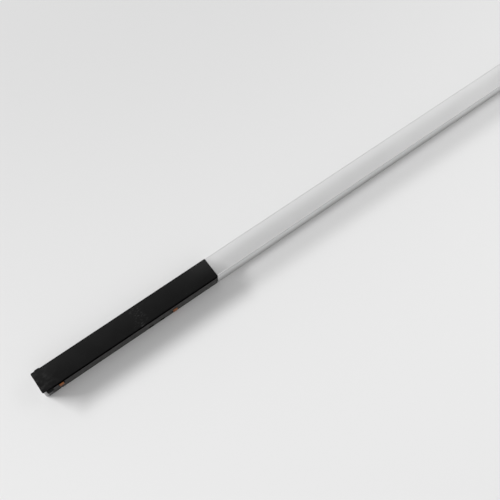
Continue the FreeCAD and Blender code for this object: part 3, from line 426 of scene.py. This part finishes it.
METALS = {
    "spring_steel": {"light": srgb(190), "dark": srgb(140), "roughness": 0.28, "mark": 0.6},
    "brass_plate": {
        "light": srgb(205, 172, 98),
        "dark": srgb(176, 138, 70),
        "roughness": 0.32,
        "tarnish": srgb(120, 88, 48),
    },
    "copper_contact": {
        "light": srgb(186, 124, 84),
        "dark": srgb(164, 104, 68),
        "roughness": 0.36,
        "stretch": (0.25, 1, 1),
        "tarnish": srgb(138, 88, 60),
        "mark": 0.5,
    },
    "zinc_screws": {"light": srgb(188, 190, 194), "dark": srgb(146, 148, 152), "mark": 0.5},
    "steel_bar": {
        "light": srgb(170, 172, 175),
        "dark": srgb(120, 122, 126),
        "roughness": 0.36,
        "stretch": (0.1, 1, 1),
        "tarnish": srgb(96, 88, 80),
    },
    "bare_aluminium": {
        "light": srgb(206),
        "dark": srgb(172),
        "roughness": 0.34,
        "stretch": (0.06, 1, 1),
    },
}


def make_materials():
    """The material of every slot of the record."""
    finishes = {slot: make(slot) for slot, make in OWN_FINISHES.items()}
    finishes.update({slot: moulded(slot, **look) for slot, look in PLASTICS.items()})
    finishes.update({slot: metal(slot, **look) for slot, look in METALS.items()})
    return {slot: finish.material for slot, finish in finishes.items()}


def paint_frame():
    """Give every CAD node the material of its record slot."""
    for node in NODES.values():
        for index, plain in enumerate(node.data.materials):
            node.data.materials[index] = MATERIALS[plain.name]


# ---- springs -------------------------------------------------------------------------------

WIRE_SIDES = 10
STEPS_PER_TURN = 24
CLOSED_TURNS = 1
EAR_SPRING_TURNS = 9
EAR_SPRING_WIRE = 0.25 * MM
CONTACT_SPRING_TURNS = 4
CONTACT_SPRING_WIRE = 0.2 * MM


def add_piece(name, vertices, faces, slot):
    """A new mesh piece in the row frame that rides on the lamp body."""
    mesh = bpy.data.meshes.new(name)
    mesh.from_pydata([tuple(point) for point in vertices], [], faces)
    mesh.validate()
    mesh.shade_smooth()
    mesh.materials.append(MATERIALS[slot])
    piece = bpy.data.objects.new(name, mesh)
    bpy.context.scene.collection.objects.link(piece)
    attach(piece, "lamp")
    return piece


def tube(points, radius):
    """Vertices and faces of a capped round tube along a path, with a steady frame."""
    vertices, faces = [], []
    reference = None
    for index, point in enumerate(points):
        before = points[max(index - 1, 0)]
        after = points[min(index + 1, len(points) - 1)]
        heading = (after - before).normalized()
        if reference is None:
            reference = heading.orthogonal()
        reference = (reference - heading * reference.dot(heading)).normalized()
        aside = heading.cross(reference)
        for side in range(WIRE_SIDES):
            angle = math.tau * side / WIRE_SIDES
            outward = reference * math.cos(angle) + aside * math.sin(angle)
            vertices.append(point + outward * radius)
    for ring in range(len(points) - 1):
        for side in range(WIRE_SIDES):
            a = ring * WIRE_SIDES + side
            b = ring * WIRE_SIDES + (side + 1) % WIRE_SIDES
            faces.append((a, b, b + WIRE_SIDES, a + WIRE_SIDES))
    faces.append(tuple(reversed(range(WIRE_SIDES))))
    faces.append(tuple(range(len(vertices) - WIRE_SIDES, len(vertices))))
    return vertices, faces


def coil(node, turns, wire):
    """Helix along Y that fills a spring node's box, with flat closed turns at each end.

    wire is the radius of the wire."""
    low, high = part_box(node)
    centre = (low + high) / 2
    radius = (high.x - low.x) / 2 - wire
    span = high.y - low.y - 2 * wire - 4 * wire * CLOSED_TURNS
    points = []
    for step in range((turns + 2 * CLOSED_TURNS) * STEPS_PER_TURN + 1):
        turn = step / STEPS_PER_TURN
        open_share = min(max((turn - CLOSED_TURNS) / turns, 0.0), 1.0)
        closed_turns = min(turn, CLOSED_TURNS) + max(turn - CLOSED_TURNS - turns, 0.0)
        angle = math.tau * turn
        x = centre.x + radius * math.cos(angle)
        y = low.y + wire + 2 * wire * closed_turns + open_share * span
        z = centre.z + radius * math.sin(angle)
        points.append(Vector((x, y, z)))
    return tube(points, wire)


def spring_piece(node, turns, wire):
    """A coil that stands for a spring node, whose own part it hides."""
    piece = add_piece(node + "_wire", *coil(node, turns, wire), "spring_steel")
    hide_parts(node)
    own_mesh(piece)


def springs():
    """Coils for the ears' common spring and for each contact's spring."""
    spring_piece("ear_spring", EAR_SPRING_TURNS, EAR_SPRING_WIRE)
    for end in ("front", "rear"):
        for side in ("left", "right"):
            node = f"{end}_{side}_contact_spring"
            spring_piece(node, CONTACT_SPRING_TURNS, CONTACT_SPRING_WIRE)


# ---- stage ---------------------------------------------------------------------------------

FLOOR_REACH = 3.5
FLOOR_FADE_START, FLOOR_FADE_END = 0.7, 2.4
# Direction and range of the painted light on the floor.
FLOOR_SLOPE_X, FLOOR_SLOPE_Y = -0.35, -0.94
FLOOR_TONE_START, FLOOR_TONE_END = -0.40, 0.34
WALL_LIGHT = 0.78
CEILING_LIGHT = 0.42


def floor():
    """Pale sheet with painted light, a little brighter towards the lower right, that melts into
    the surroundings.
    """
    reach = FLOOR_REACH
    corners = [(-reach, -reach, 0), (reach, -reach, 0), (reach, reach, 0), (-reach, reach, 0)]
    mesh = bpy.data.meshes.new("floor")
    mesh.from_pydata(corners, [], [(0, 1, 2, 3)])
    sheet = bpy.data.objects.new("floor", mesh)
    bpy.context.scene.collection.objects.link(sheet)
    finish = Finish("floor", roughness=0.9, specular=0.1)
    # Painted light: the sheet gets brighter towards the lower right.
    along = finish.math("MULTIPLY", finish.axis(0), FLOOR_SLOPE_X)
    toward = finish.math("ADD", along, finish.math("MULTIPLY", finish.axis(1), FLOOR_SLOPE_Y))
    tone = finish.spread(toward, FLOOR_TONE_START, FLOOR_TONE_END)
    finish.set(Base_Color=finish.mix(tone, srgb(208), srgb(227)))
    finish.relief(finish.noise(2), 0.02, 0.2)
    distance = finish.node("ShaderNodeVectorMath", {0: finish.place}, operation="LENGTH")
    finish.clear(finish.spread(distance.outputs["Value"], FLOOR_FADE_START, FLOOR_FADE_END))
    mesh.materials.append(finish.material)


def stand(thing, aim, azimuth, elevation, distance):
    """Turn a light or camera to aim from this azimuth (0 is from -Y, 90 from +X) and elevation."""
    a, e = math.radians(azimuth), math.radians(elevation)
    back = Vector((math.sin(a) * math.cos(e), -math.cos(a) * math.cos(e), math.sin(e)))
    bpy.context.scene.collection.objects.link(thing)
    thing.location = aim + back * distance
    thing.rotation_mode = "QUATERNION"
    thing.rotation_quaternion = back.to_track_quat("Z", "Y")


def softbox(name, width, height, power, **place):
    data = bpy.data.lights.new(name, "AREA")
    data.shape = "RECTANGLE"
    data.size = width
    data.size_y = height
    data.energy = power
    light = bpy.data.objects.new(name, data)
    light.visible_camera = False
    stand(light, **place)


def lights():
    """A wide, low softbox from behind on the left and a small one over the floor on the right."""
    key_place = {"aim": Vector((JOINT_X, 0, 0)), "azimuth": -137.5, "elevation": 22.9}
    softbox("key", width=4.4, height=0.8, power=629, distance=6.8, **key_place)
    fill_place = {"aim": Vector((0.75, -0.1, 0)), "azimuth": 0, "elevation": 90}
    softbox("fill", width=0.6, height=0.6, power=2.0, distance=0.7, **fill_place)


def world():
    """Even studio surroundings: pale walls, a somewhat darker ceiling."""
    surroundings = bpy.data.worlds.new("studio")
    bpy.context.scene.world = surroundings
    surroundings.use_nodes = True
    tree = surroundings.node_tree
    background = tree.nodes["Background"]
    background.inputs["Color"].default_value = (1, 1, 1, 1)
    place = tree.nodes.new("ShaderNodeTexCoord")
    split = tree.nodes.new("ShaderNodeSeparateXYZ")
    fade = tree.nodes.new("ShaderNodeMapRange")
    tree.links.new(place.outputs["Generated"], split.inputs[0])
    tree.links.new(split.outputs["Z"], fade.inputs["Value"])
    fade.inputs["To Min"].default_value = WALL_LIGHT
    fade.inputs["To Max"].default_value = CEILING_LIGHT
    tree.links.new(fade.outputs[0], background.inputs["Strength"])


def camera():
    """Looks down along the object from the left, past the free end."""
    data = bpy.data.cameras.new("camera")
    data.lens = 54.98
    data.sensor_width = 36.0
    data.clip_start = 0.01
    view = bpy.data.objects.new("camera", data)
    aim = Vector((JOINT_X + 48.52 * MM, -1.84 * MM, 0))
    stand(view, aim, azimuth=-36.54, elevation=64.75, distance=813.3 * MM)
    bpy.context.scene.camera = view


def stage():
    floor()
    world()
    lights()
    camera()
    settings = bpy.context.scene.view_settings
    settings.view_transform = "Standard"
    settings.look = "None"


MATERIALS = make_materials()
paint_frame()
springs()
stage()
